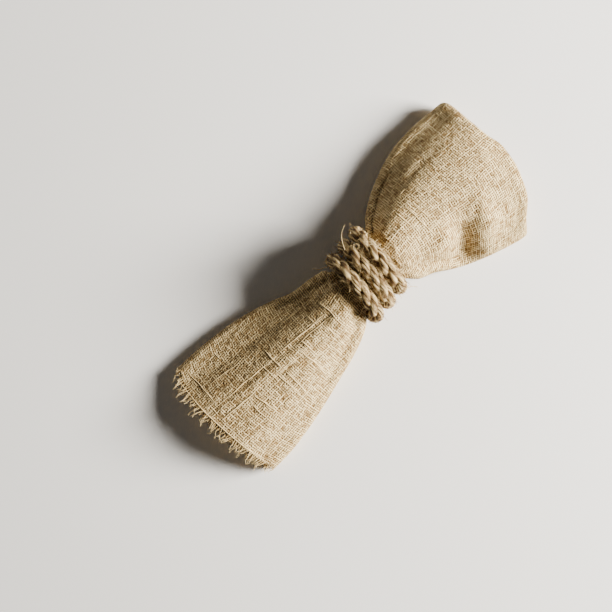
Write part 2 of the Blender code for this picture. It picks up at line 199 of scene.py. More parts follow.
cloth = {
    "flatSize": (0.48, 0.48),  # metres, before it was folded
    "layerThickness": 1.2,  # two plies of the half fold
    "plyThickness": 0.42,
    "plyOffset": 0.40,  # of each ply from the middle of its layer
    "nearReach": 129.4,  # from the ring's middle to the frayed end
    "farReach": 112.2,  # and to the folded end
    "ringMiddle": 12.2,
    "betweenFolds": 0.86,  # share of the width that lies between the side folds
    "rowCount": 151,
    "topColumns": 84,
    "bottomColumns": 16,
    "innerColumns": 14,
    "foldColumns": 8,
    "farFoldRadius": 1.0,
    "topFoldRadius": 1.7,
    "foldRadiusRise": 1.5,  # that a lap's fold may gain for each level it lies above the floor
    "foldRun": 10,  # over which the plies open to their fold
    "setBackRun": 14,  # over which a lap makes room for its fold
    "foldAngle": 22.5,  # degrees between the rows round a fold
    "unevenness": 0.32,
    "unevenPatches": ((19, 11, 0.3, 1.0), (7.5, 4.6, 5.1, 0.55)),  # length, width, seed, share
    "gatherPlaces": ((-5, 13, 1.0), (30, 12, 0.35)),  # x, reach, share
    "gatherHeights": (0.14, 0.09),
    "sectionColumns": (
        "x", "left", "right", "top", "base",
        "leftSide", "rightSide", "leftShoulder", "rightShoulder",
    ),
    "sections": (
        (-117, 35.0, -50.0, 18.0, 0.0, 11.0, 11.0, 2.0, 2.0),
        (-97, 35.5, -49.0, 20.0, 0.0, 11.2, 11.2, 2.0, 2.0),
        (-76, 34.4, -45.2, 22.5, 0.0, 11.8, 12.0, 2.0, 2.0),
        (-56, 31.4, -39.8, 25.2, 0.0, 13.0, 13.0, 2.1, 2.0),
        (-40, 27.0, -34.8, 27.5, 0.4, 15.0, 14.5, 2.3, 2.1),
        (-28, 23.0, -31.0, 29.5, 2.2, 18.5, 17.5, 2.6, 2.5),
        (-16, 21.9, -26.0, 32.5, 5.6, 24.0, 22.0, 3.0, 3.0),
        (-9.4, 20.8, -22.0, 33.8, 8.2, 27.0, 26.0, 2.5, 2.5),
        (-7.2, 20.3, -20.0, 33.2, 9.6, 27.4, 26.8, 2.3, 2.3),
        (-4.4, 17.0, -15.6, 32.2, 10.5, 27.4, 27.2, 2.2, 2.2),
        (0, 15.0, -15.6, 31.6, 10.8, 27.2, 27.2, 2.0, 2.0),
        (22, 18.2, -12.6, 31.6, 10.8, 27.2, 27.2, 2.0, 2.0),
        (26.3, 19.4, -14.6, 32.2, 10.6, 27.4, 27.2, 2.2, 2.2),
        (30, 22.4, -18.6, 33.4, 10.0, 27.0, 26.4, 2.3, 2.2),
        (34.5, 27.4, -22.4, 34.3, 8.2, 24.5, 24.0, 2.4, 2.4),
        (43, 33.8, -25.2, 34.5, 4.2, 19.5, 19.0, 2.4, 2.3),
        (54, 39.9, -31.3, 33.5, 0.6, 16.0, 15.0, 2.2, 2.3),
        (66, 45.0, -36.6, 32.0, 0.0, 15.0, 13.5, 2.1, 2.2),
        (80, 48.6, -41.3, 30.5, 0.0, 14.5, 13.5, 2.0, 2.2),
        (98, 49.8, -45.0, 29.0, 0.0, 14.5, 14.5, 2.0, 2.2),
        (112, 48.8, -44.5, 26.5, 0.0, 14.5, 15.0, 2.2, 2.4),
        (124, 47.0, -42.0, 20.0, 0.0, 14.0, 14.0, 2.4, 2.5),
    ),
    # across, share of the reach
    "nearEdge": (
        (-1.0, 0.930), (-0.7, 0.962), (-0.3, 0.985), (0.2, 1.0), (0.6, 0.996), (1.0, 0.950),
    ),
    "farEdge": (
        (-1.0, 0.797), (-0.88, 0.838), (-0.65, 0.927), (-0.45, 0.962), (-0.2, 0.992),
        (0.0, 1.0), (0.3, 0.974), (0.7, 0.956), (0.93, 0.949), (1.0, 0.930),
    ),
    # level, start across, end across, how far its folded end lies back
    "laps": (
        (3, 0.8, -1.0, 5.0),
        (2, -1.0, 1.0, 5.0),
        (4, 1.0, -1.0, 2.5),
        (1, -1.0, 1.0, 2.5),
        (5, 1.0, -1.0, 0.0),
        (0, -1.0, 0.6, 0.0),
    ),
    # from x, y to x, y, width, depth at each end: a negative depth is a ridge
    "mainCreases": (
        (34, -21.0, 46, -24.3, 3.0, 0.4, 2.0),
        (46, -24.3, 58, -26.6, 4.2, 2.0, 5.2),
        (58, -26.6, 66, -24.4, 6.0, 5.2, 9.4),
        (66, -24.4, 70, -18.5, 7.5, 9.4, 8.0),
        (70, -18.5, 75, -10.5, 6.0, 8.0, 0.6),
        (36, -14.8, 54, -16.8, 5.0, -0.5, -2.8),
        (54, -16.8, 62, -16.0, 5.5, -2.8, -5.0),
        (62, -16.0, 64, -9.0, 5.5, -5.0, -1.2),
        (91, -12.0, 87.5, -25.0, 6.5, -1.8, -4.2),
        (87.5, -25.0, 77, -35.0, 5.5, -4.2, -2.0),
        (33, 19.5, 66, 32.0, 4.0, 1.6, 0.8),
        (44, 28.5, 84, 41.0, 3.5, 1.4, 0.8),
        (84, 39.0, 104, 42.5, 5.0, 0.9, 1.2),
        (-46, 20.5, -29, 19.0, 3.5, 1.6, 0.9),
        (-112, 23.0, -58, 16.5, 12.0, 3.0, 2.4),
        (-58, 16.5, -28, 15.0, 11.0, 2.4, 0.2),
        (-112, -25.0, -50, -18.5, 11.0, -1.6, -1.5),
        (-50, -18.5, -24, -15.0, 10.0, -1.5, -0.2),
    ),
    "softCreases": (
        (-112, 1.8, -64, -1.5, 1.6, 0.3, 0.55),
        (-64, -1.5, -12, -3.0, 1.6, 0.55, 0.3),
        (-111, -4.1, -66, -9.4, 1.6, 0.2, 0.45),
        (-66, -9.4, -20, -9.6, 1.6, 0.45, 0.3),
        (-108, -3.0, -20, -6.5, 6.0, -0.9, -1.0),
        (-100, 20.0, -50, 14.0, 1.8, 0.2, 0.4),
        (-50, 14.0, -10, 12.0, 1.5, 0.4, 0.6),
        (-85, -16.3, -14, -15.5, 1.3, 0.1, 0.45),
        (-18, 11.5, -5, 9.5, 1.3, 0.2, 0.6),
        (-24, -12.5, -6, -10.5, 1.6, 0.1, 0.35),
        (29, 9.0, 54, 12.0, 1.8, 0.4, 0.1),
        (29, -3.5, 56, -6.0, 1.8, 0.35, 0.1),
        (62, 27.0, 96, 30.0, 3.0, 0.9, 0.3),
        (84, -28.0, 104, -33.0, 4.0, 0.6, 0.3),
    ),
}

section = tableCurves(cloth["sectionColumns"], cloth["sections"])
nearEdge = smoothCurve(*zip(*cloth["nearEdge"]))
farEdge = smoothCurve(*zip(*cloth["farEdge"]))
topLevel = 5
foldLevel = {"right": 2.5, "left": 3.0}  # the level that each side's folds are centred on


def endX(station, across, tuck=0.0):
    # station runs from -1 at the frayed end to 1 at the folded end
    near = station * cloth["nearReach"] * nearEdge(across)
    far = station * (cloth["farReach"] * farEdge(across) - tuck)
    return cloth["ringMiddle"] + np.where(station < 0, near, far)


def layerStep(x, side):
    return (section[side + "Side"](x) - section["base"](x) - cloth["layerThickness"]) / topLevel


def foldCentre(x, side):
    levels = foldLevel["right"] if side == "right" else topLevel - foldLevel["left"]
    inset = levels * layerStep(x, side) + cloth["layerThickness"] / 2
    return section[side](x) + (inset if side == "right" else -inset)


def creaseDepths(creases, x, y):
    depths = [np.zeros(np.broadcast(x, y).shape)]
    for fromX, fromY, toX, toY, width, fromDepth, toDepth in creases:
        runX, runY = toX - fromX, toY - fromY
        share = ((x - fromX) * runX + (y - fromY) * runY) / (runX**2 + runY**2)
        share = np.clip(share, 0, 1)
        away = np.hypot(x - fromX - share * runX, y - fromY - share * runY) / width
        depths.append((fromDepth + share * (toDepth - fromDepth)) * np.exp(-away * away))
    depths = np.array(depths)
    return depths.max(0) + depths.min(0)


def unevenAt(x, y):
    points = np.stack([x, y], -1).reshape(-1, 2)
    heights = []
    for px, py in points:
        patches = [
            share * noise.noise(Vector((px / length, py / width, seed)))
            for length, width, seed, share in cloth["unevenPatches"]
        ]
        heights.append(sum(patches))
    return np.array(heights).reshape(x.shape) * cloth["unevenness"]


def reliefAt(x, y):
    # gathers run into the ring, and soft creases and uneven patches lie all over
    nearRing = sum(
        share * np.exp(-(((x - place) / reach) ** 2))
        for place, reach, share in cloth["gatherPlaces"]
    )
    broad, fine = cloth["gatherHeights"]
    gathers = nearRing * (broad * np.sin(y * 1.02 + 0.6) + fine * np.sin(y * 1.75 + x * 0.04))
    return unevenAt(x, y) + gathers - creaseDepths(cloth["softCreases"], x, y)


def topHeight(x, y):
    right, left = foldCentre(x, "right"), foldCentre(x, "left")
    across = 2 * (y - right) / (left - right) - 1
    isLeft = across > 0
    shoulder = np.where(isLeft, section["leftShoulder"](x), section["rightShoulder"](x))
    side = np.where(isLeft, section["leftSide"](x), section["rightSide"](x))
    arch = 1 - np.minimum(np.abs(across), 1) ** shoulder
    return side + (section["top"](x) - side) * arch - creaseDepths(cloth["mainCreases"], x, y)


def layerHeight(x, y, level):
    base, thickness = section["base"](x), cloth["layerThickness"]
    room = topHeight(x, y) - base - thickness
    return base + thickness / 2 + room * level / topLevel


def lapPoints(station, across, level, tuck):
    x = endX(station, across * cloth["betweenFolds"], tuck)
    right, left = foldCentre(x, "right"), foldCentre(x, "left")
    y = right + (across + 1) / 2 * (left - right)
    return np.stack([x, y, layerHeight(x, y, level)], -1)


def foldPoints(station, side, start, end, turned, tuck):
    outward = -1 if side == "right" else 1
    bulge = abs(end - start) * np.sin(np.pi * turned)
    share = cloth["betweenFolds"] + (1 - cloth["betweenFolds"]) * bulge / topLevel
    x = endX(station, outward * share, tuck)
    y = foldCentre(x, side)
    first, last = layerHeight(x, y, start), layerHeight(x, y, end)
    middle = (first + last) / 2
    z = middle + (first - middle) * np.cos(np.pi * turned)
    return np.stack([x, y + outward * bulge / 2 * layerStep(x, side), z], -1)


def rollGrid(stations):
    # the middle of every layer, lap after lap, with the folds that join them
    parts, levels = [], []
    station = np.array(stations)[:, None]
    counts = {topLevel: cloth["topColumns"], 0: cloth["bottomColumns"]}
    for number, (level, start, end, tuck) in enumerate(cloth["laps"]):
        count = counts.get(level, cloth["innerColumns"])
        across = np.linspace(start, end, count + 1)[None]
        parts.append(lapPoints(station, across, level, tuck))
        levels += [level] * (count + 1)
        if number == len(cloth["laps"]) - 1:
            break
        after = cloth["laps"][number + 1]
        turned = (np.arange(1, cloth["foldColumns"]) / cloth["foldColumns"])[None]
        side = "right" if end < 0 else "left"
        tucks = tuck + (after[3] - tuck) * turned
        parts.append(foldPoints(station, side, level, after[0], turned, tucks))
        levels += list(level + (after[0] - level) * turned[0])
    return np.concatenate(parts, 1), np.array(levels)


def facing(grid):
    return unit(np.cross(np.gradient(grid, axis=0), np.gradient(grid, axis=1)))


def clothStations():
    # closer together beside the ring, where the cloth is drawn in
    xs = np.linspace(-1, 1, cloth["rowCount"])
    bend = smoothCurve((-1, -0.25, 0.0, 0.3, 1), (-1.0, -0.17, 0.0, 0.22, 1.0))
    return bend(xs)


def napkinSheet():
    # the upper ply, then the fold at the far end, then the lower ply back to the frayed end
    middle, levels = rollGrid(clothStations())
    onTop = (levels / topLevel) ** 4
    shown = np.argmax(levels == topLevel), len(levels) - np.argmax(levels[::-1] == topLevel)
    relief = np.zeros(middle.shape[:2])
    part = slice(max(shown[0] - 5, 0), shown[1] + 5)  # the top lap and part of its folds
    relief[:, part] = reliefAt(middle[:, part, 0], middle[:, part, 1]) * onTop[part]
    outer = -facing(middle)
    middle = middle + outer * relief[..., None]
    outer = -facing(middle)

    steps = np.linalg.norm(np.diff(middle, axis=0), axis=2)
    toEnd = np.cumsum(np.vstack([np.zeros(len(levels)), steps[::-1]]), axis=0)[::-1]
    radius = cloth["farFoldRadius"] + (cloth["topFoldRadius"] - cloth["farFoldRadius"]) * onTop
    radius = np.minimum(radius, cloth["plyOffset"] + cloth["foldRadiusRise"] * levels)
    opened = smooth(1 - toEnd / cloth["foldRun"])
    offset = cloth["plyOffset"] + (radius - cloth["plyOffset"]) * opened
    ahead = unit(middle[-1] - middle[-2])
    setBack = ahead * radius[:, None]
    fade = smooth(1 - toEnd / cloth["setBackRun"])[..., None]
    middle = middle - setBack[None] * fade

    rows = list(middle + outer * offset[..., None])
    for angle in np.radians(np.arange(cloth["foldAngle"], 180, cloth["foldAngle"])):
        turn = ahead * math.sin(angle) + outer[-1] * math.cos(angle)
        rows.append(middle[-1] + turn * radius[:, None])
    rows += list((middle - outer * offset[..., None])[::-2])  # half as many rows below
    return np.array(rows), levels


def sheetMesh(name, grid, material):
    rows, columns = grid.shape[:2]
    number = np.arange(rows * columns).reshape(rows, columns)
    corners = [number[:-1, :-1], number[:-1, 1:], number[1:, 1:], number[1:, :-1]]
    faces = np.stack(corners, -1).reshape(-1, 4)
    mesh = bpy.data.meshes.new(name)
    mesh.from_pydata((grid.reshape(-1, 3) * mm).tolist(), [], faces.tolist())
    mesh.materials.append(material)
    mesh.shade_smooth()
    return mesh


def flatCoordinates(grid, levels):
    # metres on the flat cloth, from the middle of the top lap, so that threads run straight
    centre = int(np.mean(np.flatnonzero(levels == topLevel)))
    u = lengthsAlong(grid[:, centre])
    across = np.linalg.norm(np.diff(grid, axis=1), axis=2)
    v = np.concatenate([np.zeros((len(grid), 1)), np.cumsum(across, axis=1)], axis=1)
    v -= v[:, centre : centre + 1]
    return np.stack([np.broadcast_to(u[:, None], v.shape), v], -1) * mm


def giveFlatMap(mesh, coordinates):
    layer = mesh.uv_layers.new(name="flat")
    picked = np.zeros(len(mesh.loops), int)
    mesh.loops.foreach_get("vertex_index", picked)
    layer.data.foreach_set("uv", coordinates.reshape(-1, 2)[picked].ravel())


def newObject(name, data):
    made = bpy.data.objects.new(name, data)
    bpy.context.scene.collection.objects.link(made)
    return made


def applied(piece, name):
    # the piece as its modifiers leave it, as a plain mesh
    evaluated = piece.evaluated_get(bpy.context.evaluated_depsgraph_get())
    mesh = bpy.data.meshes.new_from_object(evaluated)
    mesh.name = name
    bpy.data.objects.remove(piece)
    return newObject(name, mesh)


weave = {
    "threadPitch": 1.42,
    "sway": 2.0,  # of the threads from their straight lines
    "wobble": 0.9,
    "threadEdge": (-0.1, 0.5),  # of the wave that makes a thread
    "toneBand": (0.36, 0.64),  # of the noise that gives each thread its own tone
    "faintest": 0.42,  # share of the light that the darkest thread keeps
    "speckle": 1.0,
    "crepe": 0.7,
    "mottle": 0.4,
    "middleBand": (0.05, 0.45),  # of the light, from the painted shade in the gaps to the thread's colour
    "paleBand": (0.42, 0.98),  # and on to the pale colour
    "gapShadeColour": (0.125, 0.066, 0.022, 1),
    "threadColour": (0.43, 0.28, 0.112, 1),
    "paleColour": (0.95, 0.735, 0.385, 1),
    "threadRelief": 1.1,
    "crepeRelief": 1.4,
    "speckleRelief": 1.8,
    "bumpDistance": 0.0004,  # metres
}


def clothMaterial():
    made, nodes, surface = newMaterial("slubbyGauze", 0.9)
    flat = nodes.node("ShaderNodeUVMap", {"uv_map": "flat"})
    parts = nodes.node("ShaderNodeSeparateXYZ", {}, {0: flat})
    u, v = parts * metre, parts.other("Y") * metre
    # the numbers beside u and v are how many patches of noise lie in a millimetre
    drift = nodes.noise(nodes.vector(u * 0.04, v * 0.07, 3.0)) - 0.5
    sway = nodes.noise(nodes.vector(u * 0.07, v * 0.05, 8.0)) - 0.5
    wobble = nodes.noise(nodes.vector(u * 0.34, v * 0.3, 9.0), detail=1) - 0.5
    u = u + drift * weave["sway"] + wobble * weave["wobble"]
    v = v + sway * weave["sway"] - wobble * weave["wobble"]
    # each thread has its own tone, which changes slowly along it
    crossNoise = nodes.noise(nodes.vector(u * 0.8, v * 0.15, 1.0), detail=1)
    alongNoise = nodes.noise(nodes.vector(u * 0.13, v * 0.8, 6.0), detail=1)
    threads = []
    for place, tone in ((u, crossNoise), (v, alongNoise)):
        wave = (place * (math.tau / weave["threadPitch"])).cos()
        strength = (1 - weave["faintest"]) * nodes.step(tone, *weave["toneBand"])
        threads.append(nodes.step(wave, *weave["threadEdge"]) * (weave["faintest"] + strength))
    thread = threads[0].math("MAXIMUM", *threads)
    speckle = nodes.noise(nodes.vector(u * 0.8, v * 0.8, 2.0), detail=1)
    crepe = nodes.noise(nodes.vector(u * 0.42, v * 0.3, 5.0), detail=1)
    mottle = nodes.noise(nodes.vector(u * 0.03, v * 0.03, 4.0))
    # the colour follows the same thread, crepe and speckle heights as the bump: raised places are
    # painted paler and gaps and hollows darker, as painted light and shade, while each thread's
    # tone and the mottle are the cloth's own colour
    light = thread + (speckle - 0.5) * weave["speckle"] + (crepe - 0.5) * weave["crepe"]
    light = light + (mottle - 0.5) * weave["mottle"]
    middle = nodes.step(light, *weave["middleBand"])
    # the gaps between the threads take a dark painted shade, for the shade that falls into the open
    # weave
    colour = nodes.mix(middle, weave["gapShadeColour"], weave["threadColour"])
    colour = nodes.mix(nodes.step(light, *weave["paleBand"]), colour, weave["paleColour"])
    nodes.put(surface.inputs["Base Color"], colour)
    height = thread * weave["threadRelief"] + crepe * weave["crepeRelief"]
    height = height + speckle * weave["speckleRelief"]
    inputs = {"Distance": weave["bumpDistance"], "Height": height}
    nodes.put(surface.inputs["Normal"], nodes.node("ShaderNodeBump", {}, inputs))
    return made


gauze = clothMaterial()
sheetGrid, sheetLevels = napkinSheet()
napkin = newObject("napkinCloth", sheetMesh("napkinCloth", sheetGrid, gauze))
giveFlatMap(napkin.data, flatCoordinates(sheetGrid, sheetLevels))
solidify = napkin.modifiers.new("thickness", "SOLIDIFY")
solidify.thickness = cloth["plyThickness"] * mm
solidify.offset = 0
napkin = applied(napkin, "napkinCloth")
print("napkin cloth made:", len(napkin.data.polygons), "faces")


# Geometry Nodes helpers

def newTree(name, sockets):
    tree = bpy.data.node_groups.new(name, "GeometryNodeTree")
    tree.interface.new_socket("Geometry", in_out="INPUT", socket_type="NodeSocketGeometry")
    for label, (kind, value) in sockets.items():
        made = tree.interface.new_socket(label, in_out="INPUT", socket_type="NodeSocket" + kind)
        made.default_value = value
    tree.interface.new_socket("Geometry", in_out="OUTPUT", socket_type="NodeSocketGeometry")
    nodes = Nodes(tree)
    given = nodes.node("NodeGroupInput")
    return tree, nodes, given


def endTree(nodes, geometry, material):
    whole = nodes.node("GeometryNodeRealizeInstances", {}, {0: geometry})
    smoothed = nodes.node("GeometryNodeSetShadeSmooth", {}, {0: whole})
    finished = nodes.node("GeometryNodeSetMaterial", {}, {0: smoothed, "Material": material})
    output = nodes.tree.nodes.new("NodeGroupOutput")
    nodes.put(output.inputs[0], finished)


def grow(name, source, tree, values):
    modifier = source.modifiers.new(name, "NODES")
    modifier.node_group = tree
    for item in tree.interface.items_tree:
        if item.in_out == "INPUT" and item.name in values:
            modifier[item.identifier] = values[item.name]
    return applied(source, name)


def polylineMesh(name, lines, attributes=None):
    points, edges = [], []
    for line in lines:
        first = len(points)
        points += [tuple(np.array(point) * mm) for point in line]
        edges += [(first + i, first + i + 1) for i in range(len(line) - 1)]
    mesh = bpy.data.meshes.new(name)
    mesh.from_pydata(points, edges, [])
    for label, values in (attributes or {}).items():
        kind = "FLOAT_VECTOR" if np.ndim(values) == 2 else "FLOAT"
        layer = mesh.attributes.new(label, kind, "POINT")
        layer.data.foreach_set("vector" if kind == "FLOAT_VECTOR" else "value", np.ravel(values))
    return mesh


# The rope

rope = {
    "ringWidth": 51.0,
    "ringHeight": 42.0,
    "squareness": 2.4,  # of the ring's section: 2 is an oval
    "lean": 0.15,  # each turn lies a little further to the left
    "leanFrom": 2.3,
    "diameter": 9.4,
    "strands": 3,
    "strandDiameter": 4.9,
    "strandLay": 25.0,
    "yarns": 13,
    "yarnRadius": 0.46,
    "coreRadius": 1.75,
    "yarnLay": 19.0,
    "yarnSwell": 0.7,  # shares of the yarn's radius
    "yarnSpread": 0.5,
    "swellScale": 210.0,
    "yarnSeed": 4,
    "step": 1.45,  # between the points of its middle line
    "endSetback": 0.04,  # turns
    # turns from the start, x
    "knots": (
        (0.0, -3.6), (0.25, -0.4), (0.5, 2.3), (0.75, 1.9), (1.0, 6.3), (1.25, 10.5),
        (1.5, 12.6), (1.75, 12.9), (2.0, 17.1), (2.25, 21.4), (2.5, 22.6),
        (2.75, 23.0), (3.0, 27.4),
    ),
    "streaks": 1.9,  # shares of the light
    "yarnTone": 1.4,
    "grain": 1.3,
    "lightness": 0.42,
    "grainScale": 2000.0,
    "middleBand": (0.05, 0.6),  # of the light, from the colour of dark fibres and painted shade to the fibre's colour
    "paleBand": (0.5, 0.95),  # and on to the pale colour
    # dark streaks of fibre, and the painted shade on the low-toned cores between the yarns
    "darkFibreAndShadeColour": (0.10, 0.05, 0.016, 1),
    "fibreColour": (0.36, 0.235, 0.10, 1),
    "paleColour": (0.80, 0.615, 0.32, 1),
    "streakRelief": 0.6,
    "bumpDistance": 0.0008,  # metres
}
hair = {
    "count": 540,
    "points": 7,
    "reach": (3.0, 12.0),
    "lift": (0.0, 1.9),
    "twist": (-0.5, 0.5),  # radians round the rope, from root to tip
    "sunk": 0.55,  # at the root
    "clearance": 0.3,  # above the floor
    "aside": (0.31, 0.17, 0.93),  # any direction that the rope never takes
    "radius": 0.13,
    "placedThickness": 1.7,
    "tone": 0.8,
    "seed": 5,
    # stray fibres that lie where they can be seen: x, y and height above the rope or the cloth
    "placed": (
        ((10.5, 20.0, 1.0), (13.0, 25.5, 2.5), (16.0, 29.0, 3.0), (20.5, 31.5, 3.5)),
        ((8.0, 22.9, 0.6), (7.7, 17.0, 1.2), (8.1, 11.0, 1.0), (8.4, 5.4, 0.5)),
        (
            (15.0, 17.2, 0.5), (16.6, 18.8, 2.0), (18.4, 18.0, 2.2),
            (18.2, 15.8, 1.4), (16.4, 15.6, 0.5),
        ),
        ((14.6, 19.6, 0.6), (17.8, 19.0, 1.6), (20.8, 19.4, 0.8)),
        ((23.5, 18.3, 0.3), (26.0, 18.6, 1.6), (28.6, 18.9, 2.6)),
        ((5.8, 3.2, 0.4), (8.0, 3.7, 1.2), (10.2, 3.3, 1.6)),
        ((21.5, 16.5, 0.2), (22.9, 14.0, 0.8), (24.6, 11.4, 0.4)),
        ((23.2, 17.2, 0.2), (24.6, 14.4, 0.9), (26.2, 12.0, 0.7)),
        ((25.2, 10.6, 0.3), (27.2, 9.0, 1.2), (29.6, 8.4, 1.6)),
        ((25.4, 8.4, 0.2), (27.0, 6.2, 1.0), (28.8, 5.0, 0.8)),
        ((17.4, -2.6, 0.2), (18.9, -4.2, 1.1), (18.3, -6.4, 1.0), (16.9, -5.4, 0.2)),
        (
            (26.0, 12.0, 0.6), (30.5, 11.8, 0.9), (33.7, 9.6, 0.6), (34.6, 4.6, 0.5),
            (34.1, 0.5, 0.6), (31.2, -3.7, 0.7), (29.1, -7.9, 0.5),
        ),
        ((33.9, 8.2, 0.5), (36.4, 8.5, 0.8), (38.9, 7.7, 0.4)),
        ((27.6, -1.0, 0.2), (29.8, -4.0, 0.8), (30.0, -9.0, 0.8), (27.8, -13.2, 0.3)),
        ((22.0, -21.0, 0.2), (26.0, -22.4, 1.0), (29.0, -25.2, 1.6)),
        ((-3.2, 9.0, 0.2), (-5.4, 5.8, 0.7), (-5.8, 1.6, 0.6)),
        ((-4.0, 20.4, 0.2), (-7.6, 21.6, 1.2), (-10.5, 24.6, 1.0)),
    ),
}


def ropeLine():
    # the rope's middle line: turns of a rounded square that move on along the napkin
    knotAt = smoothCurve(*zip(*rope["knots"]))
    ends = rope["endSetback"], rope["knots"][-1][0] - rope["endSetback"]
    turns = np.linspace(*ends, 3000)
    angle = -math.tau * (turns + 0.25)
    across, up = np.cos(angle), np.sin(angle)
    power = 2 / rope["squareness"]
    halfWidth = (rope["ringWidth"] - rope["diameter"]) / 2
    halfHeight = (rope["ringHeight"] - rope["diameter"]) / 2
    lean = rope["lean"] * (knotAt(turns) - rope["leanFrom"])
    y = halfWidth * np.sign(across) * np.abs(across) ** power + lean
    z = rope["ringHeight"] / 2 + halfHeight * np.sign(up) * np.abs(up) ** power
    fine = np.stack([knotAt(turns), y, z], -1)
    lengths = lengthsAlong(fine)
    places = np.linspace(0, lengths[-1], round(lengths[-1] / rope["step"]) + 1)
    return pointAt(places, lengths, fine)


def ropeMaterial():
    made, nodes, surface = newMaterial("laidFibre", 0.75)
    along = nodes.attribute("along") * metre
    tone = nodes.attribute("tone")
    place = nodes.node("ShaderNodeTexCoord", output="Object")
    streaks = nodes.noise(nodes.vector(along * 0.16, tone * 37), detail=3)
    grain = nodes.noise(place, scale=rope["grainScale"])
    light = (streaks - 0.5) * rope["streaks"] + (tone - 0.5) * rope["yarnTone"]
    light = light + (grain - 0.5) * rope["grain"] + rope["lightness"]
    middle = nodes.step(light, *rope["middleBand"])
    colour = nodes.mix(middle, rope["darkFibreAndShadeColour"], rope["fibreColour"])
    colour = nodes.mix(nodes.step(light, *rope["paleBand"]), colour, rope["paleColour"])
    nodes.put(surface.inputs["Base Color"], colour)
    inputs = {"Distance": rope["bumpDistance"], "Height": grain + streaks * rope["streakRelief"]}
    nodes.put(surface.inputs["Normal"], nodes.node("ShaderNodeBump", {}, inputs))
    return made


def helixOffset(nodes, copy, copies, lay, radius):
    # moves each copy of a curve round the curve it was copied from
    length = nodes.node("GeometryNodeSplineParameter", output="Length")
    angle = length / lay * math.tau + copy / copies * math.tau
    normal = nodes.node("GeometryNodeInputNormal")
    ahead = nodes.node("GeometryNodeInputTangent")
    beside = nodes.vectorMath("CROSS_PRODUCT", ahead, normal)
    outward = nodes.scaled(normal, angle.cos() * radius)
    return nodes.vectorMath("ADD", outward, nodes.scaled(beside, angle.sin() * radius))


def copiedRound(nodes, curve, copies, lay, radius):
    # a curve's copies, laid round it, and each copy's number
    inputs = {0: curve, "Amount": copies}
    copied = nodes.node("GeometryNodeDuplicateElements", {"domain": "SPLINE"}, inputs)
    number = copied.other("Duplicate Index")
    offset = helixOffset(nodes, number, copies, lay, radius)
    return nodes.node("GeometryNodeSetPosition", {}, {0: copied, "Offset": offset}), number


def ropeTree(material):
    # a core for each strand, darkened as painted shade that shows between its yarns, with its yarns
    # laid the other way round it
    sockets = {
        "strands": ("Int", 3),
        "strandOffset": ("Float", 0.002),
        "strandLay": ("Float", 0.026),
        "coreRadius": ("Float", 0.0017),
        "yarns": ("Int", 9),
        "yarnOffset": ("Float", 0.0017),
        "yarnLay": ("Float", 0.02),
        "yarnRadius": ("Float", 0.0007),
    }
    tree, nodes, given = newTree("laidRope", sockets)
    line = nodes.node("GeometryNodeMeshToCurve", {}, {0: given})
    lay, offset = given.other("strandLay"), given.other("strandOffset")
    strands, strand = copiedRound(nodes, line, given.other("strands"), lay, offset)
    # the core's low tone is painted shade, seen in the gaps between the yarns
    paintedShadeCore = nodes.stored(strands, "tone", 0.25)
    lay, offset = given.other("yarnLay") * -1, given.other("yarnOffset")
    yarns, yarn = copiedRound(nodes, strands, given.other("yarns"), lay, offset)
    inputs = {"ID": yarn + strand * 50, "Seed": rope["yarnSeed"]}
    tone = nodes.node("FunctionNodeRandomValue", {"data_type": "FLOAT"}, inputs, output=1)
    yarns = nodes.stored(yarns, "tone", tone)
    inputs = {"Scale": rope["swellScale"], "W": tone * 90}
    swell = nodes.node("ShaderNodeTexNoise", {"noise_dimensions": "4D"}, inputs)
    share = 0.5 + swell * rope["yarnSwell"] + tone * rope["yarnSpread"]
    yarnRadius = given.other("yarnRadius") * share
    tubes = [
        tube(nodes, paintedShadeCore, given.other("coreRadius"), sides=8),
        tube(nodes, yarns, yarnRadius, sides=5),
    ]
    joined = nodes.node("GeometryNodeJoinGeometry")
    for one in reversed(tubes):
        nodes.put(joined.socket.node.inputs[0], one)
    endTree(nodes, joined, material)
    return tree


def tube(nodes, curve, radius, sides):
    # a tube round a curve, with its length along the curve kept for the material
    curve = nodes.stored(curve, "along", nodes.node("GeometryNodeSplineParameter", output="Length"))
    curve = nodes.node("GeometryNodeSetCurveRadius", {}, {0: curve, "Radius": radius})
    inputs = {"Resolution": sides, "Radius": 1.0}
    outline = nodes.node("GeometryNodeCurvePrimitiveCircle", {}, inputs)
    scale = nodes.node("GeometryNodeInputRadius")
    inputs = {0: curve, "Profile Curve": outline, "Scale": scale, "Fill Caps": True}
    return nodes.node("GeometryNodeCurveToMesh", {}, inputs)


def threadTree(name, material, sides):
    # each line of the source mesh becomes a thread as thick as its own attribute says
    tree, nodes, given = newTree(name, {"radius": ("Float", 0.0003), "tone": ("Float", 0.5)})
    curve = nodes.node("GeometryNodeMeshToCurve", {}, {0: given})
    curve = nodes.stored(curve, "tone", given.other("tone"))
    radius = nodes.named("thick") * given.other("radius")
    endTree(nodes, tube(nodes, curve, radius, sides), material)
    return tree


fibre = ropeMaterial()
ropeCentre = ropeLine()
ropeRing = newObject("ropeLine", polylineMesh("ropeLine", [ropeCentre]))
ropeRing = grow(
    "ropeRing",
    ropeRing,
    ropeTree(fibre),
    {
        "strands": rope["strands"],
        "strandOffset": (rope["diameter"] - rope["strandDiameter"]) / 2 * mm,
        "strandLay": rope["strandLay"] * mm,
        "coreRadius": rope["coreRadius"] * mm,
        "yarns": rope["yarns"],
        "yarnOffset": (rope["strandDiameter"] / 2 - rope["yarnRadius"]) * mm,
        "yarnLay": rope["yarnLay"] * mm,
        "yarnRadius": rope["yarnRadius"] * mm,
    },
)
print("rope ring made:", len(ropeRing.data.polygons), "faces")


def tapered(count, chance, fullness=0.35):
    # how thick a thread is along its length, with small uneven places
    shares = np.linspace(0, 1, count)
    belly = np.sin(np.pi * (0.08 + 0.84 * shares)) ** fullness
    return belly * [chance.uniform(0.75, 1.25) for _ in shares]


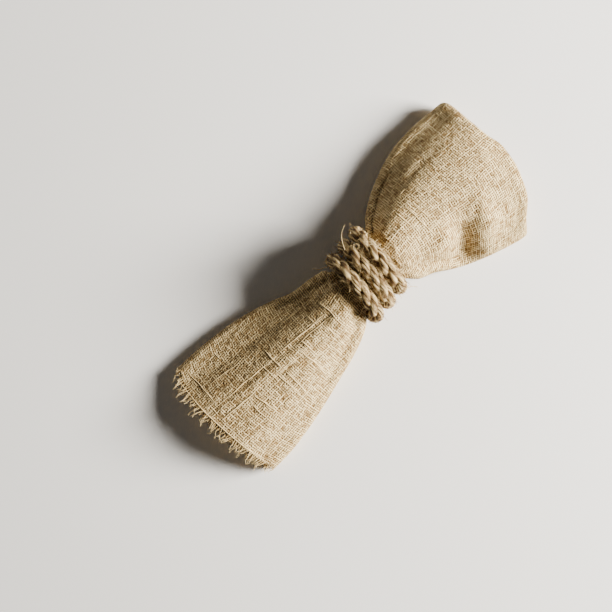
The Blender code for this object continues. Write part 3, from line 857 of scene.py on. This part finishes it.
def ropeTopAt(x, y):
    # the height of the rope's skin above a place
    radius = rope["diameter"] / 2
    gap = np.array([x, y]) - ropeCentre[:, :2]
    across = np.hypot(gap[:, 0], gap[:, 1] * 0.25)  # the turns run mostly along y
    near = (across < radius) & (ropeCentre[:, 2] > rope["ringHeight"] / 2)
    if not near.any():
        return 0.0
    rise = np.sqrt(radius**2 - across[near] ** 2)
    return float((ropeCentre[near, 2] + rise).max())


def surfaceAt(x, y):
    # the height of the cloth's upper face above a place
    x, y = np.array([float(x)]), np.array([float(y)])
    proud = cloth["plyOffset"] + cloth["plyThickness"] / 2
    return float((layerHeight(x, y, topLevel) + reliefAt(x, y))[0] + proud)


def smoothLine(points, count):
    numbers = np.arange(len(points))
    at = np.linspace(0, numbers[-1], count)
    return np.stack([smoothCurve(numbers, values)(at) for values in zip(*points)], -1)


def hairLines():
    chance = random.Random(hair["seed"])
    lines, thick = [], []
    ahead = unit(np.gradient(ropeCentre, axis=0))
    numbers = np.arange(len(ropeCentre))
    for _ in range(hair["count"]):
        reach = chance.uniform(*hair["reach"])
        lift = chance.uniform(*hair["lift"]) ** 2
        start = chance.randrange(4, len(ropeCentre) - 12)
        angle, twist = chance.uniform(0, math.tau), chance.uniform(*hair["twist"])
        points = []
        for share in np.linspace(0, 1, hair["points"]):
            at = min(start + share * reach / rope["step"], len(ropeCentre) - 2)
            forward = ahead[int(at)]
            side = np.cross(forward, hair["aside"])
            side /= np.linalg.norm(side)
            turn = angle + twist * share
            outward = side * math.cos(turn) + np.cross(forward, side) * math.sin(turn)
            away = rope["diameter"] / 2 - hair["sunk"] + lift * (2 * share - 1) ** 2
            points.append(pointAt(at, numbers, ropeCentre) + outward * away)
        points = np.array(points)
        if points[:, 2].min() < hair["clearance"]:
            continue
        lines.append(points)
        thick.append(tapered(len(points), chance))
    for points in hair["placed"]:
        raised = [(x, y, max(ropeTopAt(x, y), surfaceAt(x, y)) + lift) for x, y, lift in points]
        line = smoothLine(raised, 5 * len(points))
        lines.append(line)
        thick.append(hair["placedThickness"] * tapered(len(line), chance))
    return lines, np.concatenate(thick)


hairs, hairThickness = hairLines()
ropeHairs = newObject("ropeHairs", polylineMesh("ropeHairs", hairs, {"thick": hairThickness}))
ropeHairs = grow(
    "ropeHairs",
    ropeHairs,
    threadTree("strayFibres", fibre, sides=3),
    {"radius": hair["radius"] * mm, "tone": hair["tone"]},
)
print("rope hairs made:", len(ropeHairs.data.polygons), "faces")


# The fringe

fringe = {
    "pitch": 1.5,
    "hiddenPitch": 2.8,
    "length": 8.0,
    "radius": 0.2,
    "curl": 4.2,
    "curlPower": 1.4,  # above 1, the curl gathers at the tips
    "droop": 0.06,
    "rise": (-0.02, 0.32),
    "spread": 0.3,
    "clump": 1.3,
    "clumpLength": 4.0,
    "lyingHeight": 2,  # below it the threads don't rise
    "droopHeight": 13,  # from it on they droop fully
    "pliesApart": 0.15,
    "shownReach": (0.65, 1.1),  # shares of the length
    "hiddenReach": (0.3, 0.6),
    "setback": 1.2,
    "seed": 11,
}


def fringeRoots():
    # the frayed edges of both plies, with the way each thread points
    chance = random.Random(fringe["seed"])
    points, aims = [], []
    for edge, inner in ((0, 1), (-1, -2)):
        line = sheetGrid[edge]
        outward = unit(line - sheetGrid[inner])
        beside = unit(np.gradient(line, axis=0))
        lift = fringe["pliesApart"] if edge == 0 else -fringe["pliesApart"]
        lengths = lengthsAlong(line)
        at = 0.5
        while at < lengths[-1]:
            level = sheetLevels[int(np.interp(at, lengths, np.arange(len(line))))]
            inFold = level % 1 > 0
            point = pointAt(at, lengths, line)
            away = pointAt(at, lengths, outward)
            along = pointAt(at, lengths, beside)
            points.append(point - away * fringe["setback"] + (0, 0, lift))
            place = Vector((at / fringe["clumpLength"], edge * 7.0, 2.0))
            clump = fringe["clump"] * noise.noise(place)
            droop = fringe["droop"] * min(point[2] / fringe["droopHeight"], 1)
            isRaised = point[2] > fringe["lyingHeight"]
            upward = chance.uniform(*fringe["rise"]) * isRaised - droop
            sideways = clump + chance.uniform(-fringe["spread"], fringe["spread"])
            aimed = away + along * sideways + (0, 0, upward)
            onShow = level == topLevel and edge == 0
            reach = chance.uniform(*fringe["shownReach" if onShow else "hiddenReach"])
            aims.append(aimed / np.linalg.norm(aimed) * reach)
            pitch = fringe["pitch" if level == topLevel or inFold else "hiddenPitch"]
            at += pitch * chance.uniform(0.5, 1.5)
    return points, np.array(aims)


def fringeTree(material):
    # a thread on each root, straight at first, then curled more and more towards its tip
    sockets = {
        "length": ("Float", 0.0065),
        "radius": ("Float", 0.00015),
        "curl": ("Float", 0.0015),
        "curlPower": ("Float", 1.4),
    }
    tree, nodes, given = newTree("frayedThreads", sockets)
    roots = nodes.node("GeometryNodeMeshToPoints", {}, {0: given})
    line = nodes.node("GeometryNodeCurvePrimitiveLine", {}, {"End": (0, 0, 1)})
    line = nodes.node("GeometryNodeResampleCurve", {}, {0: line, "Count": 9})
    aim = nodes.named("aim", "FLOAT_VECTOR")
    turn = nodes.node("FunctionNodeAlignRotationToVector", {"axis": "Z"}, {"Vector": aim})
    size = nodes.node("ShaderNodeVectorMath", {"operation": "LENGTH"}, {0: aim}, output="Value")
    length = size * given.other("length")
    inputs = {0: roots, "Instance": line, "Rotation": turn, "Scale": length}
    threads = nodes.node("GeometryNodeInstanceOnPoints", {}, inputs)
    threads = nodes.node("GeometryNodeRealizeInstances", {}, {0: threads})
    share = nodes.node("GeometryNodeSplineParameter")
    which = nodes.named("thread", "INT")
    place = nodes.node("GeometryNodeInputPosition")
    inputs = {"Vector": place, "Scale": 260.0, "Detail": 1.0, "W": which * 7.31}
    wander = nodes.node("ShaderNodeTexNoise", {"noise_dimensions": "4D"}, inputs, "Color")
    centred = nodes.vectorMath("SUBTRACT", wander, (0.5, 0.5, 0.5))
    amount = share ** given.other("curlPower") * given.other("curl") * 2.4
    offset = nodes.scaled(centred, amount)
    threads = nodes.node("GeometryNodeSetPosition", {}, {0: threads, "Offset": offset})
    radius = given.other("radius") * (1.1 - 0.7 * share)
    # none of them goes below the floor
    parts = nodes.node("ShaderNodeSeparateXYZ", {}, {0: place})
    height = parts.other("Z")
    resting = nodes.vector(parts, parts.other("Y"), height.math("MAXIMUM", height, radius))
    threads = nodes.node("GeometryNodeSetPosition", {}, {0: threads, "Position": resting})
    tone = 0.55 + 0.85 * which.math("FRACT", which * 0.618)
    threads = nodes.stored(threads, "tone", tone)
    endTree(nodes, tube(nodes, threads, radius, sides=4), material)
    return tree


def threadMaterial():
    made, nodes, surface = newMaterial("looseThread", 0.85)
    tone = nodes.attribute("tone")
    along = nodes.attribute("along") * metre
    fleck = nodes.noise(nodes.vector(along * 0.9, tone * 31))
    colour = nodes.mix(tone * 0.7 + (fleck - 0.5), weave["threadColour"], weave["paleColour"])
    nodes.put(surface.inputs["Base Color"], colour)
    return made


slub = {
    "radius": 0.36,
    "proud": 0.02,  # of the cloth's upper face
    "tone": 1.2,
    "count": 90,
    "nearRing": 0.14,  # share of the napkin on each side of the ring that has none
    "reach": (2.0, 6.5),
    "thickness": (0.5, 0.8),
    "alongShare": 0.4,
    "step": 1.1,  # between the points of its line
    "sway": 0.9,
    "swayLength": 9,
    "fromEdge": 0.6,  # at the frayed end
    "halfWidth": 45,  # of that end
    "seed": 8,
    # thick places in the threads: from x, y to x, y, thickness
    "placed": (
        (-118, 1.8, -62, 0.6, 0.85),
        (-58, 0.8, -22, -0.4, 0.9),
        (-52, -2.6, -16, -3.6, 0.8),
        (-111, -6.6, -80, -6.8, 1.0),
        (-78, -8.2, -42, -9.4, 0.8),
        (-56, -16.0, -34, -16.2, 0.9),
        (-50, 13.2, -20, 11.6, 0.8),
        (-104, 14.0, -76, 12.6, 0.7),
        (-64.7, 7.8, -64.6, -7.9, 1.0),
        (-44.5, -2.9, -43.1, -14.3, 1.1),
        (-48.6, -6.7, -45.6, -28.4, 1.1),
        (-64.1, -10.4, -62.4, -34.3, 1.1),
        (-68.5, -9.3, -66.4, -26.7, 0.9),
        (-86.7, -10.0, -84.6, -22.0, 1.2),
        (-108, 30.0, -108, 2.0, 0.8),
        (-92, -10.0, -91, -27.0, 0.8),
        (-72, 5.0, -71, -12.0, 0.7),
        (-21, 12.0, -20, -12.0, 0.9),
        (-32, 8.0, -31, -4.0, 0.8),
        (-28, -6.0, -27, -18.0, 0.9),
        (49, 17.0, 49.5, 5.0, 1.0),
        (55, 15.0, 57, -9.0, 1.1),
        (60.5, 13.0, 61, 0.0, 0.8),
        (44, 8.0, 45, -3.0, 0.8),
        (42, 5.0, 54, 4.4, 0.7),
        (70, 24.0, 71, 13.0, 0.7),
        (-126.4, 26.0, -126.8, -44.0, 0.9),
        (-124.6, 30.0, -124.8, -34.0, 0.8),
    ),
}


def slubLines():
    # the placed ones, and a random scatter of short ones
    chance = random.Random(slub["seed"])
    lines, thick = [], []
    places = list(slub["placed"])
    for _ in range(slub["count"]):
        station, across = chance.uniform(-0.97, 0.95), chance.uniform(-0.9, 0.9)
        if abs(station) < slub["nearRing"]:
            continue
        x, y = lapPoints(np.array([station]), np.array([across]), topLevel, 0.0)[0][:2]
        reach = chance.uniform(*slub["reach"]) / 2
        runX, runY = (reach, 0) if chance.random() < slub["alongShare"] else (0, reach)
        thickness = chance.uniform(*slub["thickness"])
        places.append((x - runX, y - runY, x + runX, y + runY, thickness))
    for fromX, fromY, toX, toY, thickness in places:
        length = math.hypot(toX - fromX, toY - fromY)
        count = max(5, round(length / slub["step"]))
        shares = np.linspace(0, 1, count)
        seed = chance.uniform(0, 90)
        waves = [Vector((seed, share * length / slub["swayLength"], 0)) for share in shares]
        sway = slub["sway"] * np.array([noise.noise(wave) for wave in waves])
        x = fromX + (toX - fromX) * shares + sway * (toY - fromY) / length
        y = fromY + (toY - fromY) * shares - sway * (toX - fromX) / length
        # none of them passes the frayed edge
        across = np.clip(y / slub["halfWidth"], -cloth["betweenFolds"], cloth["betweenFolds"])
        x = np.maximum(x, endX(-1.0, across) + slub["fromEdge"])
        z = layerHeight(x, y, topLevel) + reliefAt(x, y)
        z += cloth["plyOffset"] + cloth["plyThickness"] / 2 + slub["proud"]
        lines.append(np.stack([x, y, z], -1))
        thick.append(thickness * tapered(count, chance, 0.6))
    return lines, np.concatenate(thick)


thread = threadMaterial()
slubs, slubThickness = slubLines()
slubMesh = polylineMesh("slubThreads", slubs, {"thick": slubThickness})
slubThreads = grow(
    "slubThreads",
    newObject("slubThreads", slubMesh),
    threadTree("thickThreads", thread, sides=5),
    {"radius": slub["radius"] * mm, "tone": slub["tone"]},
)
print("slubs made:", len(slubThreads.data.polygons), "faces")
rootPoints, rootAims = fringeRoots()
rootMesh = polylineMesh("fringeRoots", [[point] for point in rootPoints], {"aim": rootAims})
numbers = rootMesh.attributes.new("thread", "INT", "POINT")
numbers.data.foreach_set("value", np.arange(len(rootPoints)))
fringeThreads = grow(
    "fringeThreads",
    newObject("fringeRoots", rootMesh),
    fringeTree(thread),
    {
        "length": fringe["length"] * mm,
        "radius": fringe["radius"] * mm,
        "curl": fringe["curl"] * mm,
        "curlPower": fringe["curlPower"],
    },
)
print("fringe made:", len(rootPoints), "threads,", len(fringeThreads.data.polygons), "faces")


# Floor, light and camera

# lengths in metres, angles in degrees
studio = {
    "azimuth": 228.3,
    "elevation": 88.0,
    "distance": 1.3,
    "middleHeight": 0.026,
    "pictureSize": 612,  # pixels
    "pixelSize": 0.0006,  # across one pixel at the napkin
    "originPixel": (353.6, 288.0),
    "pictureRight": (0.747, -0.665, 0),
    "pictureUp": (0.665, 0.747, 0),
    "sensorWidth": 36,  # millimetres
    "floorReach": 2.5,
    "floorColour": (0.98, 0.98, 0.98, 1),
    "keyAzimuth": -36,
    "keyElevation": 23.5,
    "keyDistance": 1.5,
    "keySize": 0.6,
    "keyPower": 137,
    "keyColour": (1.0, 0.95, 0.86),
    "keyAim": (0, 0, 0.02),
    "worldColour": (1.0, 0.91, 0.79, 1),
    "worldStrength": 0.07,
}


def makeFloor():
    mesh = bpy.data.meshes.new("floor")
    reach = studio["floorReach"]
    corners = [(-reach, -reach, 0), (reach, -reach, 0), (reach, reach, 0), (-reach, reach, 0)]
    mesh.from_pydata(corners, [], [(0, 1, 2, 3)])
    made, _, surface = newMaterial("paleFloor", 0.7)
    surface.inputs["Base Color"].default_value = studio["floorColour"]
    mesh.materials.append(made)
    newObject("floor", mesh)


def aim(piece, target):
    direction = Vector(target) - piece.location
    piece.rotation_euler = direction.to_track_quat("-Z", "Y").to_euler()


def polar(azimuth, elevation, distance):
    around, up = math.radians(azimuth), math.radians(elevation)
    flat = math.cos(up) * distance
    return Vector((math.cos(around) * flat, math.sin(around) * flat, math.sin(up) * distance))


def makeKey():
    light = bpy.data.lights.new("key", "AREA")
    light.size = studio["keySize"]
    light.energy = studio["keyPower"]
    light.color = studio["keyColour"]
    made = newObject("key", light)
    made.location = polar(studio["keyAzimuth"], studio["keyElevation"], studio["keyDistance"])
    aim(made, studio["keyAim"])


def makeWorld():
    world = bpy.data.worlds.new("studio")
    world.use_nodes = True
    background = world.node_tree.nodes["Background"]
    background.inputs["Color"].default_value = studio["worldColour"]
    background.inputs["Strength"].default_value = studio["worldStrength"]
    bpy.context.scene.world = world


def makeCamera():
    camera = bpy.data.cameras.new("camera")
    width = studio["pictureSize"] * studio["pixelSize"]
    camera.sensor_width = studio["sensorWidth"]
    camera.lens = studio["sensorWidth"] * studio["distance"] / width
    made = newObject("camera", camera)
    # the point of the napkin's level plane that the middle of the picture looks at
    middle = studio["pictureSize"] / 2
    right = (middle - studio["originPixel"][0]) * studio["pixelSize"]
    up = (studio["originPixel"][1] - middle) * studio["pixelSize"]
    target = Vector(studio["pictureRight"]) * right + Vector(studio["pictureUp"]) * up
    target += Vector((0, 0, studio["middleHeight"]))
    made.location = target + polar(studio["azimuth"], studio["elevation"], studio["distance"])
    aim(made, target)
    bpy.context.scene.camera = made


makeFloor()
makeCamera()
makeKey()
makeWorld()
print("stage set")

for piece in (napkin, fringeThreads, ropeRing, slubThreads, ropeHairs):
    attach(piece, "root")
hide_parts("napkin")
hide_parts("fringe")
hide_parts("rope_ring")
